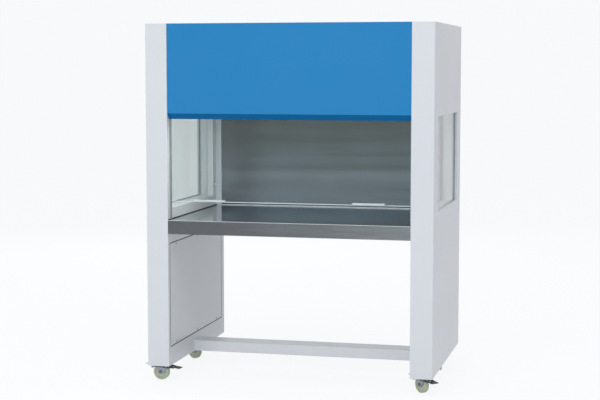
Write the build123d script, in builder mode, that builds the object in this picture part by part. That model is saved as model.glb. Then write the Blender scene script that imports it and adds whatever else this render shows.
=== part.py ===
from build123d import *
import os
from math import cos, sin, radians

os.makedirs("parts", exist_ok=True)

# ---------------------------------------------------------------- overall sizes (mm)
WIDTH = 1280.0  # over the two side boxes
DEPTH = 860.0  # front face to rear face
HEIGHT = 1595.0  # floor to the top cover
HALF_W = WIDTH / 2
HALF_D = DEPTH / 2
FRONT_Y = -HALF_D
SKIN = 1.5  # painted sheet steel
BEND_R = 2.5  # outer radius of a visible fold
SIDE_BOX_W = 98.0  # thickness of each side box
FOOT_Z = 75.0  # lower edge of the side boxes
WALL_X = HALF_W - SIDE_BOX_W  # chamber face of the side walls
TOP_FLANGE_W = 14.0  # fold that carries the top cover

# side windows: one opening in each skin, both glazed
GLASS_T = 5.0
TABLE_Z = 732.0  # top of the worktop
HOOD_H = 392.0  # height of the blue hood front
FASCIA_FOOT_Z = HEIGHT - HOOD_H
WINDOW_Z = (TABLE_Z + 50.0, FASCIA_FOOT_Z - 8.0)
INNER_WINDOW_Y = (FRONT_Y + 41.0, HALF_D - 174.0)
OUTER_WINDOW_Y = (FRONT_Y + 110.0, HALF_D - 117.0)
INNER_PANE_X = WALL_X + 25.0  # chamber face of the inner pane
OUTER_PANE_X = HALF_W - 10.0  # outer face of the outer pane
SPACER_CLEAR = 3.0  # spacer stands back from the openings
SPACER_W = 8.0

# access openings low in the chamber-side skins
ACCESS_Y = (FRONT_Y + 25.0, HALF_D - 45.0)
ACCESS_Z = (FOOT_Z + 84.0, TABLE_Z - 105.0)
COVER_GAP = 3.0
LEDGE_OUT = 10.0  # ledge overlap on the skin
LEDGE_IN = 22.0  # ledge overlap behind the cover
SCREW_EDGE = 12.0  # screw line to the edge of a cover
ACCESS_SCREW_INSET = 88.0
ACCESS_SCREW_Y = (
    ACCESS_Y[0] + ACCESS_SCREW_INSET,
    sum(ACCESS_Y) / 2,
    ACCESS_Y[1] - ACCESS_SCREW_INSET,
)
SCREW_HEAD_R = 4.5
SCREW_HEAD_H = 2.0
SCREW_R = 1.9
SCREW_L = 6.0
SCREW_HOLE_R = 2.1

# worktop
AIR_BOX_D = 118.0  # depth of the filter and air box behind the worktop
TABLE_REAR_Y = HALF_D - AIR_BOX_D
APRON_H = 62.0
APRON_RETURN = 15.0
TABLE_FIT = 0.5  # gap to the side walls
RAIL_W = 30.0
RAIL_T = 2.0

# blue hood front
FASCIA_Y = FRONT_Y + 5.0
LIP_Z = FASCIA_FOOT_Z - 25.0
LIP_Y = FRONT_Y + 27.5
LIP_RETURN = 10.0
FASCIA_FIT = 0.3

# chamber ceiling and air box
CEILING_Z = FASCIA_FOOT_Z + 7.0
DECK_FRONT_Y = FRONT_Y + 47.0
DECK_FLANGE = 30.0
PLENUM_FOOT_Z = TABLE_Z - 14.0
BACK_Y = HALF_D - 2.5  # outer face of the back cover
BACK_FLANGE_W = 14.0
DIFFUSER_T = 2.0
DIFFUSER_SIDE = 25.0
DIFFUSER_LOW_Z = TABLE_Z + 4.0
DIFFUSER_TOP_Z = CEILING_Z - 24.0
PANEL_LAP = 6.0
GASKET_T = 2.5
HEPA_X = WALL_X - 10.0
HEPA_TOP_Z = CEILING_Z - 3.0
HEPA_DEPTH = 69.0
HEPA_WALL = 15.0
PLEATS = 46
PLEAT_T = 3.0
PLEAT_MARGIN = 4.0

# top cover and prefilter
INTAKE_SLOT_L = 440.0
INTAKE_SLOT_W = 8.0
INTAKE_SLOTS = 14
INTAKE_PITCH = 19.0
INTAKE_Y = TABLE_REAR_Y - 382.0
TRAY_HALF_W = 241.0
TRAY_DROP = 24.0
TRAY_LEDGE = 13.0
PREFILTER_T = 20.0
PREFILTER_L = 290.0

# centrifugal fan, axis along X
FAN_Y = TABLE_REAR_Y - 272.0
FAN_Z = HEIGHT - 195.0
FAN_HALF_W = 85.0
SCROLL_START_R = 112.0
SCROLL_END_R = 165.0
SCROLL_START_DEG = -40.0
SCROLL_END_DEG = 270.0
SCROLL_STEPS = 12
HOUSING_T = 2.0
INLET_R = 82.0
IMPELLER_R = 98.0
IMPELLER_HALF_W = 72.0
BLADES = 26
BLADE_INNER_R = 79.0
BLADE_T = 1.6
BLADE_SWEEP_DEG = 12.0
RIM_W = 3.0
HUB_R = 17.0
HUB_L = 34.0
SHAFT_R = 6.0
RUN_FIT = 0.05  # radial clearance of a running fit
MOTOR_R = 60.0
MOTOR_FLANGE_R = 92.0
MOTOR_L = 110.0
FOOT_HALF_L = 80.0

# lamps under the ceiling
LAMP_HALF_L = WALL_X - 92.0
LAMP_R = 8.0
LAMP_Z = CEILING_Z - 19.0
FLUORESCENT_Y = FRONT_Y + 130.0
GERMICIDAL_Y = FLUORESCENT_Y + 60.0
PIN_R = 1.2
PIN_L = 7.0
PIN_PITCH = 5.0
HOLDER_L = 20.0
HOLDER_W = 24.0
HOLDER_FOOT_Z = LAMP_Z - 14.0

# sliding front glass
GUIDE_Y = (FRONT_Y + 32.2, FRONT_Y + 40.8)
GUIDE_DEPTH = 7.0
GLASS_Y = (GUIDE_Y[0] + SKIN + 0.3, GUIDE_Y[1] - SKIN - 0.3)
GLASS_HALF_W = WALL_X - 3.0
GLASS_FOOT_Z = TABLE_Z + 80.0
GLASS_H = FASCIA_FOOT_Z - GLASS_FOOT_Z + 69.0
HANDLE_X = WALL_X - 187.0
HANDLE_L = 138.0
HANDLE_H = 8.0
HANDLE_Z = GLASS_FOOT_Z + 8.0
HANDLE_FRONT_Y = FRONT_Y + 16.0
HANDLE_BAR_T = 5.0
HANDLE_FOOT_L = 14.0

# cross tube between the legs
TUBE_Y = (-60.0, 40.0)
TUBE_Z = (FOOT_Z + 1.5, FOOT_Z + 51.5)
TUBE_T = 2.0
TUBE_R = 4.0

# castors; u runs from the kingpin along the trail, v across it
CASTOR_X = HALF_W - SIDE_BOX_W / 2
FRONT_CASTOR_Y = FRONT_Y + 72.0
REAR_CASTOR_Y = HALF_D - 305.0
CASTORS = (
    ("front_left", -CASTOR_X, FRONT_CASTOR_Y, 175.0),
    ("front_right", CASTOR_X, FRONT_CASTOR_Y, 136.0),
    ("rear_left", -CASTOR_X, REAR_CASTOR_Y, 153.0),
    ("rear_right", CASTOR_X, REAR_CASTOR_Y, 98.0),
)
CASTOR_TOP_Z = FOOT_Z + 25.0
CHANNEL_T = 3.0
CHANNEL_DROP = 25.0
PLATE_HALF = 42.0
PLATE_T = 3.0
HEAD_R = 24.0
HEAD_FOOT_Z = 81.3
KINGPIN_R = 6.0
RIVET_R = 9.0
RIVET_Z = (75.4, 77.6)
CROWN_Z = (78.0, 81.0)
CROWN_R = 26.0
CROWN_L = 52.0
CROWN_SHIFT = 2.0
CHEEK_FOOT = 10.0
CHEEK_V = (13.5, 16.0)
TRAIL = 10.0
WHEEL_R = 37.5
WHEEL_HALF_W = 12.0
TYRE_ROUND = 5.0
WHEEL_DISH = 3.5
AXLE_R = 4.0
AXLE_HEAD_R = 7.0
AXLE_HEAD_H = 2.5
PIVOT_UZ = (-18.0, 62.0)
PIVOT_R = 3.0
ARM_V = (16.5, 18.5)
BOSS_V = 19.5
LEVER_T = 3.0
LEVER_TOP_Z = 70.0
BAR_FOOT_Z = 52.0
BAR_U = TRAIL + 40.0
BAR_T = 5.0
TRAIL_REACH = 84.0
LEAD_U = -56.0
LEAD_REACH = 84.0


def block(x, y, z, mode=Mode.ADD):
    """A rectangular block between two opposite corners."""
    low = [min(pair) for pair in (x, y, z)]
    high = [max(pair) for pair in (x, y, z)]
    middle = [(a + b) / 2 for a, b in zip(low, high)]
    with Locations(tuple(middle)):
        Box(*[b - a for a, b in zip(low, high)], mode=mode)


def grown(pair, amount):
    """A range made longer by the same amount at both ends."""
    return (pair[0] - amount, pair[1] + amount)


def spaced(count, pitch, middle=0.0):
    """Evenly spaced positions about a middle."""
    return [middle + (i - (count - 1) / 2) * pitch for i in range(count)]


def save(part, name):
    """Label one piece and write it as its own file."""
    part.label = name
    export_step(part, f"parts/{name}.step")


# ---------------------------------------------------------------- side boxes
def side_casing(side):
    """Outer shell folded from one sheet: front column, outer side, rear return and top fold."""
    with BuildPart() as casing:
        block((side * WALL_X, side * HALF_W), (-HALF_D, HALF_D), (FOOT_Z, HEIGHT))
        block(
            (side * (WALL_X - SKIN), side * (HALF_W - SKIN)),
            (SKIN - HALF_D, HALF_D - SKIN),
            (FOOT_Z - SKIN, HEIGHT + SKIN),
            Mode.SUBTRACT,
        )
        block(
            (side * (HALF_W - SKIN - TOP_FLANGE_W), side * (HALF_W - SKIN)),
            (SKIN - HALF_D, HALF_D - SKIN),
            (HEIGHT - 2 * SKIN, HEIGHT - SKIN),
        )
        block(
            (side * OUTER_PANE_X, side * HALF_W),
            grown(OUTER_WINDOW_Y, SKIN),
            grown(WINDOW_Z, SKIN),
        )
        block(
            (side * (OUTER_PANE_X - SKIN), side * (HALF_W + SKIN)),
            OUTER_WINDOW_Y,
            WINDOW_Z,
            Mode.SUBTRACT,
        )
        corners = casing.edges().filter_by(Axis.Z).filter_by(
            lambda e: abs(abs(e.center().X) - HALF_W) < 0.1 and abs(abs(e.center().Y) - HALF_D) < 0.1
        )
        fillet(corners, radius=BEND_R)
        rim = casing.edges().filter_by(
            lambda e: abs(abs(e.center().X) - HALF_W) < 0.1
            and OUTER_WINDOW_Y[0] - SKIN < e.center().Y < OUTER_WINDOW_Y[1] + SKIN
            and WINDOW_Z[0] - SKIN < e.center().Z < WINDOW_Z[1] + SKIN
        )
        fillet(rim, radius=SKIN * 0.8)
    return casing.part


def inner_panel(side):
    """Chamber-side skin with a glazed opening above, an access opening below and a rear fold."""
    with BuildPart() as panel:
        block(
            (side * WALL_X, side * (WALL_X + SKIN)),
            (SKIN - HALF_D, HALF_D - SKIN),
            (FOOT_Z, HEIGHT - SKIN),
        )
        block(
            (side * WALL_X, side * INNER_PANE_X),
            grown(INNER_WINDOW_Y, SKIN),
            grown(WINDOW_Z, SKIN),
        )
        block(
            (side * (WALL_X - SKIN), side * (INNER_PANE_X + SKIN)),
            INNER_WINDOW_Y,
            WINDOW_Z,
            Mode.SUBTRACT,
        )
        block(
            (side * (WALL_X + SKIN), side * (WALL_X + 2 * SKIN)),
            grown(ACCESS_Y, LEDGE_OUT),
            grown(ACCESS_Z, LEDGE_OUT),
        )
        block((side * WALL_X, side * (WALL_X + SKIN)), ACCESS_Y, ACCESS_Z, Mode.SUBTRACT)
        block(
            (side * WALL_X, side * (WALL_X + 3 * SKIN)),
            grown(ACCESS_Y, -LEDGE_IN),
            grown(ACCESS_Z, -LEDGE_IN),
            Mode.SUBTRACT,
        )
        block(
            (side * (WALL_X - BACK_FLANGE_W), side * WALL_X),
            (BACK_Y - 2 * SKIN, BACK_Y - SKIN),
            (PLENUM_FOOT_Z, HEIGHT - SKIN),
        )
        with BuildSketch(Plane.YZ) as holes:
            with Locations(*ACCESS_SCREWS):
                Circle(SCREW_HOLE_R)
        extrude(amount=HALF_W * side, mode=Mode.SUBTRACT)
        with BuildSketch(Plane.XZ):
            with Locations(*[p for p in BACK_SCREWS if p[0] * side > WALL_X - BACK_FLANGE_W]):
                Circle(SCREW_HOLE_R)
        extrude(amount=-HALF_D, mode=Mode.SUBTRACT)
        rim = panel.edges().filter_by(
            lambda e: abs(abs(e.center().X) - WALL_X) < 0.1
            and INNER_WINDOW_Y[0] - SKIN < e.center().Y < INNER_WINDOW_Y[1] + SKIN
            and WINDOW_Z[0] - SKIN < e.center().Z < WINDOW_Z[1] + SKIN
        )
        fillet(rim, radius=SKIN * 0.8)
    return panel.part


def access_cover(side):
    """Flat cover plate set flush in the access opening, on the ledge behind it."""
    with BuildPart() as cover:
        block(
            (side * WALL_X, side * (WALL_X + SKIN)),
            grown(ACCESS_Y, -COVER_GAP),
            grown(ACCESS_Z, -COVER_GAP),
        )
        with BuildSketch(Plane.YZ):
            with Locations(*ACCESS_SCREWS):
                Circle(SCREW_HOLE_R)
        extrude(amount=HALF_W * side, mode=Mode.SUBTRACT)
    return cover.part


def castor_channel(side):
    """Downward channel welded between the skins, which the castors bolt up to."""
    with BuildPart() as channel:
        block(
            (side * (WALL_X + SKIN), side * (HALF_W - SKIN)),
            (SKIN - HALF_D, HALF_D - SKIN),
            (CASTOR_TOP_Z + CHANNEL_T - CHANNEL_DROP, CASTOR_TOP_Z + CHANNEL_T),
        )
        block(
            (side * (WALL_X + SKIN + CHANNEL_T), side * (HALF_W - SKIN - CHANNEL_T)),
            (-HALF_D, HALF_D),
            (0, CASTOR_TOP_Z),
            Mode.SUBTRACT,
        )
    return channel.part


def window_pane(side, near, far):
    """One sheet of glass, large enough to cover both openings."""
    with BuildPart() as pane:
        block((side * near, side * far), PANE_Y, PANE_Z)
    return pane.part


def window_spacer(side):
    """Ring that holds the two panes apart and closes the space between them."""
    with BuildPart() as spacer:
        reach = (side * (INNER_PANE_X + GLASS_T), side * (OUTER_PANE_X - GLASS_T))
        block(reach, PANE_Y, PANE_Z)
        block(reach, grown(PANE_Y, -SPACER_W), grown(PANE_Z, -SPACER_W), Mode.SUBTRACT)
    return spacer.part


PANE_Y = (INNER_WINDOW_Y[0] - SPACER_CLEAR - SPACER_W, OUTER_WINDOW_Y[1] + SPACER_CLEAR + SPACER_W)
PANE_Z = grown(WINDOW_Z, SPACER_CLEAR + SPACER_W)
ACCESS_SCREWS = [(y, z) for y in ACCESS_SCREW_Y for z in grown(ACCESS_Z, -SCREW_EDGE)]
BACK_SCREWS = [
    (x, z)
    for x in (BACK_FLANGE_W / 2 - WALL_X, WALL_X - BACK_FLANGE_W / 2)
    for z in spaced(4, (HEIGHT - PLENUM_FOOT_Z) / 3.4, (HEIGHT + PLENUM_FOOT_Z) / 2)
]

for side, hand in ((-1, "left"), (1, "right")):
    save(side_casing(side), f"{hand}_side_casing")
    save(inner_panel(side), f"{hand}_inner_panel")
    save(access_cover(side), f"{hand}_access_cover")
    save(castor_channel(side), f"{hand}_castor_channel")
    save(window_pane(side, INNER_PANE_X, INNER_PANE_X + GLASS_T), f"{hand}_inner_pane")
    save(window_pane(side, OUTER_PANE_X - GLASS_T, OUTER_PANE_X), f"{hand}_outer_pane")
    save(window_spacer(side), f"{hand}_window_spacer")

# screws of the access covers and of the back cover, all one pattern
with BuildPart() as panel_screws:
    for side in (-1, 1):
        for y, z in ACCESS_SCREWS:
            seat = Plane(origin=(side * WALL_X, y, z), z_dir=(side, 0, 0))
            with BuildSketch(seat.offset(-SCREW_HEAD_H)):
                Circle(SCREW_HEAD_R)
            extrude(amount=SCREW_HEAD_H)
            with BuildSketch(seat):
                Circle(SCREW_R)
            extrude(amount=SCREW_L)
    for x, z in BACK_SCREWS:
        seat = Plane(origin=(x, BACK_Y, z), z_dir=(0, -1, 0))
        with BuildSketch(seat.offset(-SCREW_HEAD_H)):
            Circle(SCREW_HEAD_R)
        extrude(amount=SCREW_HEAD_H)
        with BuildSketch(seat):
            Circle(SCREW_R)
        extrude(amount=SCREW_L)
save(panel_screws.part, "panel_screws")

# cross tube between the two legs
with BuildPart() as crossbar:
    with BuildSketch(Plane.YZ.offset(-WALL_X)):
        with Locations((sum(TUBE_Y) / 2, sum(TUBE_Z) / 2)):
            RectangleRounded(TUBE_Y[1] - TUBE_Y[0], TUBE_Z[1] - TUBE_Z[0], TUBE_R)
            RectangleRounded(
                TUBE_Y[1] - TUBE_Y[0] - 2 * TUBE_T,
                TUBE_Z[1] - TUBE_Z[0] - 2 * TUBE_T,
                TUBE_R - TUBE_T,
                mode=Mode.SUBTRACT,
            )
    extrude(amount=2 * WALL_X)
save(crossbar.part, "crossbar")

# ---------------------------------------------------------------- worktop
with BuildPart() as worktop:
    reach = (TABLE_FIT - WALL_X, WALL_X - TABLE_FIT)
    apron_y = FRONT_Y + TABLE_FIT
    block(reach, (apron_y, TABLE_REAR_Y), (TABLE_Z - SKIN, TABLE_Z))
    block(reach, (apron_y, apron_y + SKIN), (TABLE_Z - APRON_H, TABLE_Z))
    block(
        reach,
        (apron_y, apron_y + APRON_RETURN),
        (TABLE_Z - APRON_H, TABLE_Z - APRON_H + SKIN),
    )
    block(
        reach,
        (TABLE_REAR_Y - SKIN, TABLE_REAR_Y),
        (PLENUM_FOOT_Z, TABLE_Z),
    )
    for side in (-1, 1):
        block(
            (side * WALL_X, side * (WALL_X - GUIDE_DEPTH - TABLE_FIT)),
            grown(GUIDE_Y, TABLE_FIT),
            (TABLE_Z - SKIN, TABLE_Z),
            Mode.SUBTRACT,
        )
    nose = worktop.edges().filter_by(Axis.X).filter_by(lambda e: abs(e.center().Y - apron_y) < 0.1)
    fillet(nose, radius=BEND_R)
save(worktop.part, "worktop")


def worktop_rail(side):
    """Angle fixed to the side wall under the edge of the worktop."""
    with BuildPart() as rail:
        top = TABLE_Z - SKIN
        run = (FRONT_Y + APRON_RETURN + SKIN, TABLE_REAR_Y - 2 * SKIN)
        block((side * WALL_X, side * (WALL_X - RAIL_T)), run, (top - RAIL_W, top))
        block((side * WALL_X, side * (WALL_X - RAIL_W)), run, (top - RAIL_T, top))
    return rail.part


for side, hand in ((-1, "left"), (1, "right")):
    save(worktop_rail(side), f"{hand}_worktop_rail")

# ---------------------------------------------------------------- hood
# front panel folded in, at its foot, to a sloping lip with a short upturned edge
with BuildPart() as hood_fascia:
    with BuildSketch(Plane.YZ.offset(FASCIA_FIT - WALL_X)):
        with BuildLine():
            outer = Polyline(
                (FASCIA_Y + TOP_FLANGE_W, HEIGHT - SKIN),
                (FASCIA_Y + SKIN, HEIGHT - SKIN),
                (FASCIA_Y + SKIN, HEIGHT),
                (FASCIA_Y, HEIGHT),
                (FASCIA_Y, FASCIA_FOOT_Z),
                (LIP_Y - SKIN, LIP_Z),
                (LIP_Y, LIP_Z),
                (LIP_Y, LIP_Z + LIP_RETURN),
                (LIP_Y - SKIN, LIP_Z + LIP_RETURN),
                (LIP_Y - SKIN, LIP_Z + 1.6 * SKIN),
                (FASCIA_Y + SKIN, FASCIA_FOOT_Z + 0.6 * SKIN),
                (FASCIA_Y + SKIN, HEIGHT - 2 * SKIN),
                (FASCIA_Y + TOP_FLANGE_W, HEIGHT - 2 * SKIN),
                close=True,
            )
        make_face()
    extrude(amount=2 * (WALL_X - FASCIA_FIT))
    fold = hood_fascia.edges().filter_by(Axis.X).filter_by(
        lambda e: abs(e.center().Y - FASCIA_Y) < 0.1 and abs(e.center().Z - FASCIA_FOOT_Z) < 0.1
    )
    fillet(fold, radius=BEND_R)
save(hood_fascia.part, "hood_fascia")

# chamber ceiling, a shallow tray with its edges turned up against the walls
with BuildPart() as hood_deck:
    block((-WALL_X, WALL_X), (DECK_FRONT_Y, TABLE_REAR_Y), (CEILING_Z, CEILING_Z + DECK_FLANGE))
    block(
        (SKIN - WALL_X, WALL_X - SKIN),
        (DECK_FRONT_Y + SKIN, TABLE_REAR_Y + SKIN),
        (CEILING_Z + SKIN, CEILING_Z + DECK_FLANGE + SKIN),
        Mode.SUBTRACT,
    )
save(hood_deck.part, "hood_deck")

# wall between the fan space and the air box, with the hole for the fan outlet
OUTLET_Z = (FAN_Z - SCROLL_END_R, FAN_Z + SCROLL_START_R * sin(radians(SCROLL_START_DEG)))
with BuildPart() as plenum_divider:
    block(
        (-WALL_X, WALL_X),
        (TABLE_REAR_Y, TABLE_REAR_Y + SKIN),
        (CEILING_Z, HEIGHT - SKIN),
    )
    block(
        (HOUSING_T - FAN_HALF_W, FAN_HALF_W - HOUSING_T),
        (TABLE_REAR_Y - SKIN, TABLE_REAR_Y + 2 * SKIN),
        grown(OUTLET_Z, -HOUSING_T),
        Mode.SUBTRACT,
    )
save(plenum_divider.part, "plenum_divider")

# floor of the air box, turned up at the front behind the worktop and at the rear
with BuildPart() as plenum_floor:
    block(
        (-WALL_X, WALL_X),
        (TABLE_REAR_Y, BACK_Y - 2 * SKIN),
        (PLENUM_FOOT_Z, PLENUM_FOOT_Z + SKIN),
    )
save(plenum_floor.part, "plenum_floor")

with BuildPart() as back_cover:
    block((-WALL_X, WALL_X), (BACK_Y - SKIN, BACK_Y), (PLENUM_FOOT_Z, HEIGHT - SKIN))
    with BuildSketch(Plane.XZ):
        with Locations(*BACK_SCREWS):
            Circle(SCREW_HOLE_R)
    extrude(amount=-HALF_D, mode=Mode.SUBTRACT)
save(back_cover.part, "back_cover")

# top cover with intake slots, and two ledges below them for the prefilter
with BuildPart() as top_cover:
    block(
        (SKIN - HALF_W, HALF_W - SKIN),
        (SKIN - HALF_D, HALF_D - SKIN),
        (HEIGHT - SKIN, HEIGHT),
    )
    block(
        (-WALL_X, WALL_X),
        (FRONT_Y, FASCIA_Y + SKIN),
        (HEIGHT - 2 * SKIN, HEIGHT + SKIN),
        Mode.SUBTRACT,
    )
    with BuildSketch(Plane.XY.offset(HEIGHT)):
        with Locations(*[(0, y) for y in spaced(INTAKE_SLOTS, INTAKE_PITCH, INTAKE_Y)]):
            SlotOverall(INTAKE_SLOT_L, INTAKE_SLOT_W)
    extrude(amount=-2 * SKIN, mode=Mode.SUBTRACT)
    for side in (-1, 1):
        run = (INTAKE_Y - PREFILTER_L / 2, INTAKE_Y + PREFILTER_L / 2)
        drop = (HEIGHT - SKIN - TRAY_DROP, HEIGHT - SKIN)
        block((side * TRAY_HALF_W, side * (TRAY_HALF_W + SKIN)), run, drop)
        block(
            (side * (TRAY_HALF_W - TRAY_LEDGE), side * (TRAY_HALF_W + SKIN)),
            run,
            (drop[0], drop[0] + SKIN),
        )
save(top_cover.part, "top_cover")

with BuildPart() as prefilter:
    base = HEIGHT - TRAY_DROP
    block(
        (-TRAY_HALF_W, TRAY_HALF_W),
        (INTAKE_Y - PREFILTER_L / 2, INTAKE_Y + PREFILTER_L / 2),
        (base, base + PREFILTER_T),
    )
save(prefilter.part, "prefilter")

# ---------------------------------------------------------------- rear wall and filter
DIFFUSER_Y = TABLE_REAR_Y
with BuildPart() as diffuser_frame:
    block((-WALL_X, WALL_X), (DIFFUSER_Y, DIFFUSER_Y + DIFFUSER_T), (TABLE_Z, CEILING_Z))
    block(
        (DIFFUSER_SIDE - WALL_X, WALL_X - DIFFUSER_SIDE),
        (DIFFUSER_Y - DIFFUSER_T, DIFFUSER_Y + 2 * DIFFUSER_T),
        (DIFFUSER_LOW_Z, DIFFUSER_TOP_Z),
        Mode.SUBTRACT,
    )
save(diffuser_frame.part, "diffuser_frame")

with BuildPart() as diffuser_panel:
    block(
        (DIFFUSER_SIDE - WALL_X - PANEL_LAP, WALL_X - DIFFUSER_SIDE + PANEL_LAP),
        (DIFFUSER_Y + DIFFUSER_T, DIFFUSER_Y + DIFFUSER_T + SKIN),
        (DIFFUSER_LOW_Z - PANEL_LAP, DIFFUSER_TOP_Z + PANEL_LAP),
    )
save(diffuser_panel.part, "diffuser_panel")

GASKET_Y = (DIFFUSER_Y + DIFFUSER_T + SKIN, DIFFUSER_Y + DIFFUSER_T + SKIN + GASKET_T)
HEPA_Y = (GASKET_Y[1], GASKET_Y[1] + HEPA_DEPTH)
HEPA_Z = (PLENUM_FOOT_Z + SKIN, HEPA_TOP_Z)
with BuildPart() as hepa_gasket:
    block((-HEPA_X, HEPA_X), GASKET_Y, HEPA_Z)
    block(
        (HEPA_WALL - HEPA_X, HEPA_X - HEPA_WALL),
        grown(GASKET_Y, GASKET_T),
        grown(HEPA_Z, -HEPA_WALL),
        Mode.SUBTRACT,
    )
save(hepa_gasket.part, "hepa_gasket")

with BuildPart() as hepa_frame:
    block((-HEPA_X, HEPA_X), HEPA_Y, HEPA_Z)
    block(
        (HEPA_WALL - HEPA_X, HEPA_X - HEPA_WALL),
        grown(HEPA_Y, SKIN),
        grown(HEPA_Z, -HEPA_WALL),
        Mode.SUBTRACT,
    )
save(hepa_frame.part, "hepa_frame")

# pleated filter pack: a folded sheet, zigzag in plan
with BuildPart() as hepa_media:
    half = HEPA_X - HEPA_WALL
    pitch = 2 * half / (2 * PLEATS)
    near = HEPA_Y[0] + PLEAT_MARGIN
    far = HEPA_Y[1] - PLEAT_MARGIN
    front = [(-half + i * pitch, far - PLEAT_T * 3 if i % 2 else near) for i in range(2 * PLEATS + 1)]
    rear = [(x, y + PLEAT_T * 3) for x, y in reversed(front)]
    with BuildSketch(Plane.XY.offset(HEPA_Z[0] + HEPA_WALL)):
        with BuildLine():
            Polyline(*front, *rear, close=True)
        make_face()
    extrude(amount=HEPA_Z[1] - HEPA_Z[0] - 2 * HEPA_WALL)
save(hepa_media.part, "hepa_media")

# ---------------------------------------------------------------- fan
FAN_PLANE = Plane(origin=(0, FAN_Y, FAN_Z), x_dir=(0, 1, 0), z_dir=(1, 0, 0))
OUTLET_REACH = TABLE_REAR_Y - FAN_Y


def scroll_point(i, inset):
    """A point of the scroll, whose radius grows evenly with the angle."""
    share = i / SCROLL_STEPS
    angle = radians(SCROLL_START_DEG + share * (SCROLL_END_DEG - SCROLL_START_DEG))
    radius = SCROLL_START_R + share * (SCROLL_END_R - SCROLL_START_R) - inset
    return (radius * cos(angle), radius * sin(angle))


def scroll_face(inset, reach):
    """Side view of the scroll and its straight outlet, inset by the wall."""
    with BuildSketch(FAN_PLANE) as scroll:
        with BuildLine():
            points = [scroll_point(i, inset) for i in range(SCROLL_STEPS + 1)]
            Spline(*points)
            Polyline(
                points[-1],
                (reach, points[-1][1]),
                (reach, points[0][1] - 2 * inset),
                points[0],
            )
        make_face()
    return scroll.sketch


with BuildPart() as fan_housing:
    add(extrude(scroll_face(0, OUTLET_REACH), amount=FAN_HALF_W, both=True))
    add(
        extrude(scroll_face(HOUSING_T, OUTLET_REACH + SKIN), amount=FAN_HALF_W - HOUSING_T, both=True),
        mode=Mode.SUBTRACT,
    )
    with BuildSketch(FAN_PLANE.offset(-FAN_HALF_W)):
        Circle(INLET_R)
    extrude(amount=2 * FAN_HALF_W, mode=Mode.SUBTRACT)
    for side in (-1, 1):
        block(
            (side * (FAN_HALF_W - HOUSING_T), side * FAN_HALF_W),
            (FAN_Y - FOOT_HALF_L, FAN_Y + FOOT_HALF_L),
            (CEILING_Z + SKIN, FAN_Z - INLET_R - SCROLL_START_R / 3),
        )
save(fan_housing.part, "fan_housing")

# impeller: a back disc with a hub, forward-curved blades and a rim ring
with BuildPart() as fan_impeller:
    with BuildSketch(FAN_PLANE.offset(IMPELLER_HALF_W - RIM_W)):
        Circle(IMPELLER_R)
    extrude(amount=RIM_W)
    with BuildSketch(FAN_PLANE.offset(-IMPELLER_HALF_W)):
        Circle(IMPELLER_R)
        Circle(BLADE_INNER_R, mode=Mode.SUBTRACT)
    extrude(amount=RIM_W)
    with BuildSketch(FAN_PLANE.offset(IMPELLER_HALF_W - RIM_W - HUB_L)):
        Circle(HUB_R)
    extrude(amount=HUB_L)
    with BuildSketch(FAN_PLANE.offset(-IMPELLER_HALF_W)) as blades:
        middle_r = (BLADE_INNER_R + IMPELLER_R) / 2 + 1.5
        tip_r = IMPELLER_R - 1.0
        root_r = BLADE_INNER_R + 1.0
        sweep = radians(BLADE_SWEEP_DEG)
        with PolarLocations(0, BLADES):
            with BuildLine():
                outer_arc = ThreePointArc(
                    (root_r, 0),
                    (middle_r * cos(sweep / 4), middle_r * sin(sweep / 4)),
                    (tip_r * cos(sweep), tip_r * sin(sweep)),
                )
                inner_arc = ThreePointArc(
                    (root_r, BLADE_T),
                    (middle_r * cos(sweep / 4) - BLADE_T, middle_r * sin(sweep / 4) + BLADE_T),
                    (tip_r * cos(sweep) - BLADE_T, tip_r * sin(sweep) + BLADE_T),
                )
                Line(outer_arc @ 0, inner_arc @ 0)
                Line(outer_arc @ 1, inner_arc @ 1)
            make_face()
    extrude(amount=2 * IMPELLER_HALF_W - RIM_W)
    with BuildSketch(FAN_PLANE):
        Circle(SHAFT_R)
    extrude(amount=FAN_HALF_W, mode=Mode.SUBTRACT)
save(fan_impeller.part, "fan_impeller")

with BuildPart() as fan_shaft:
    with BuildSketch(FAN_PLANE.offset(IMPELLER_HALF_W - HUB_L)):
        Circle(SHAFT_R)
    extrude(amount=HUB_L + MOTOR_L / 2)
    chamfer(fan_shaft.edges().filter_by(GeomType.CIRCLE), length=1.0)
save(fan_shaft.part, "fan_shaft")

# motor can on a round flange that closes the far side of the housing
with BuildPart() as fan_motor:
    with BuildSketch(FAN_PLANE.offset(FAN_HALF_W)):
        Circle(MOTOR_FLANGE_R)
    extrude(amount=RAIL_T)
    with BuildSketch(FAN_PLANE.offset(FAN_HALF_W)):
        Circle(MOTOR_R)
    extrude(amount=MOTOR_L)
    rim = fan_motor.edges().filter_by(GeomType.CIRCLE).sort_by(Axis.X)[-1]
    chamfer(rim, length=3 * RAIL_T)
    with BuildSketch(FAN_PLANE.offset(FAN_HALF_W)):
        Circle(SHAFT_R + RUN_FIT)
    extrude(amount=MOTOR_L - 4 * RAIL_T, mode=Mode.SUBTRACT)
save(fan_motor.part, "fan_motor")


# ---------------------------------------------------------------- lamps
def lamp(y):
    """Straight tube lamp with two pins at each end."""
    with BuildPart() as tube:
        with BuildSketch(Plane.YZ.offset(-LAMP_HALF_L)):
            with Locations((y, LAMP_Z)):
                Circle(LAMP_R)
        extrude(amount=2 * LAMP_HALF_L)
        with BuildSketch(Plane.YZ.offset(-LAMP_HALF_L - PIN_L)):
            with Locations((y - PIN_PITCH / 2, LAMP_Z), (y + PIN_PITCH / 2, LAMP_Z)):
                Circle(PIN_R)
        extrude(amount=2 * (LAMP_HALF_L + PIN_L))
    return tube.part


save(lamp(FLUORESCENT_Y), "fluorescent_lamp")
save(lamp(GERMICIDAL_Y), "germicidal_lamp")

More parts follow.
